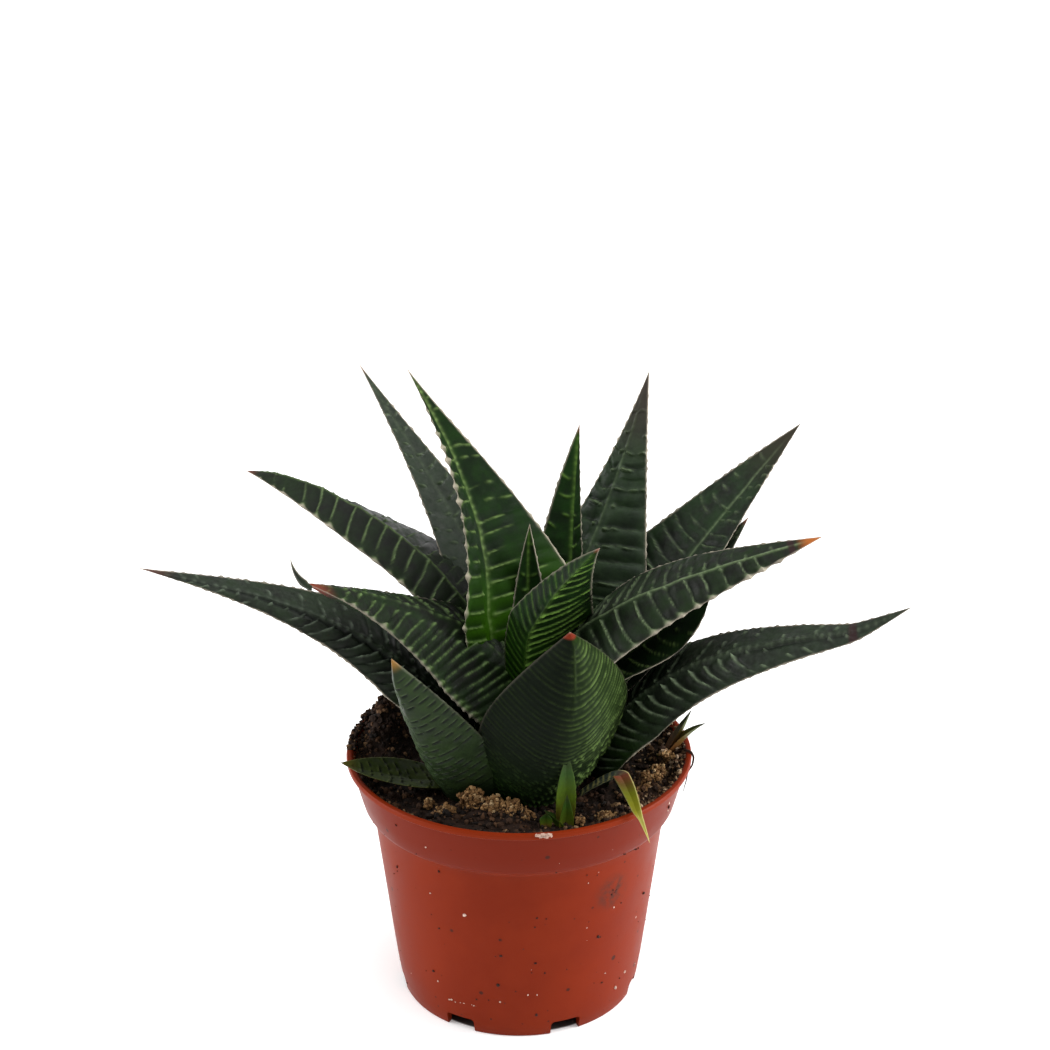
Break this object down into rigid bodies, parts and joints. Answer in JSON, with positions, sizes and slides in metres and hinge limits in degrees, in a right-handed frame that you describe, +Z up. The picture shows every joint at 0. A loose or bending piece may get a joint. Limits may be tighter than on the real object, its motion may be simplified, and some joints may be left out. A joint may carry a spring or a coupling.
{
  "type": "potted haworthia",
  "caption": "Small rosette succulent with long pointed leaves, cross ridges and toothed edges, growing in crumbly soil in a round tapered nursery pot with a stepped rim and notched foot.",
  "frame": {"origin": "middle of the whole outline seen from above, on the surface that the pot's foot stands on; the pot's own axis stands 0.6 mm to the left of it and 5.7 mm in front of it", "axes": "+Z up, -Y towards the side that shows best, +X to the right seen from that side, along the widest spread of the leaves"},
  "size_m": [0.1796, 0.0964, 0.1511],
  "materials": {
    "pot": "satin",
    "soil": "matte",
    "leaf": "satin",
    "young_leaf": "satin",
    "withered_leaf": "satin",
    "stem": "matte"
  },
  "bodies": {
    "root": {"leaf_core_back": "leaf", "leaf_core_front": "leaf", "leaf_back_slim": "leaf", "leaf_back_left_inner": "leaf", "leaf_back_right": "leaf", "leaf_right_upper": "leaf", "leaf_right": "leaf", "leaf_left_upper": "leaf", "leaf_back_left_outer": "leaf", "leaf_right_short": "leaf", "leaf_left": "leaf", "leaf_right_hidden": "leaf", "leaf_front": "leaf", "leaf_right_low": "leaf", "leaf_left_low": "leaf", "leaf_left_narrow": "leaf", "leaf_back_low": "leaf", "leaf_back_right_low": "leaf", "leaf_back_left_low": "leaf", "leaf_front_left": "leaf", "leaf_soil_left": "leaf", "young_plant_front": "young_leaf", "young_plant_right": "young_leaf", "withered_leaf": "withered_leaf", "stem": "stem", "soil": "soil", "pot": "pot"}
  },
  "joints": []
}
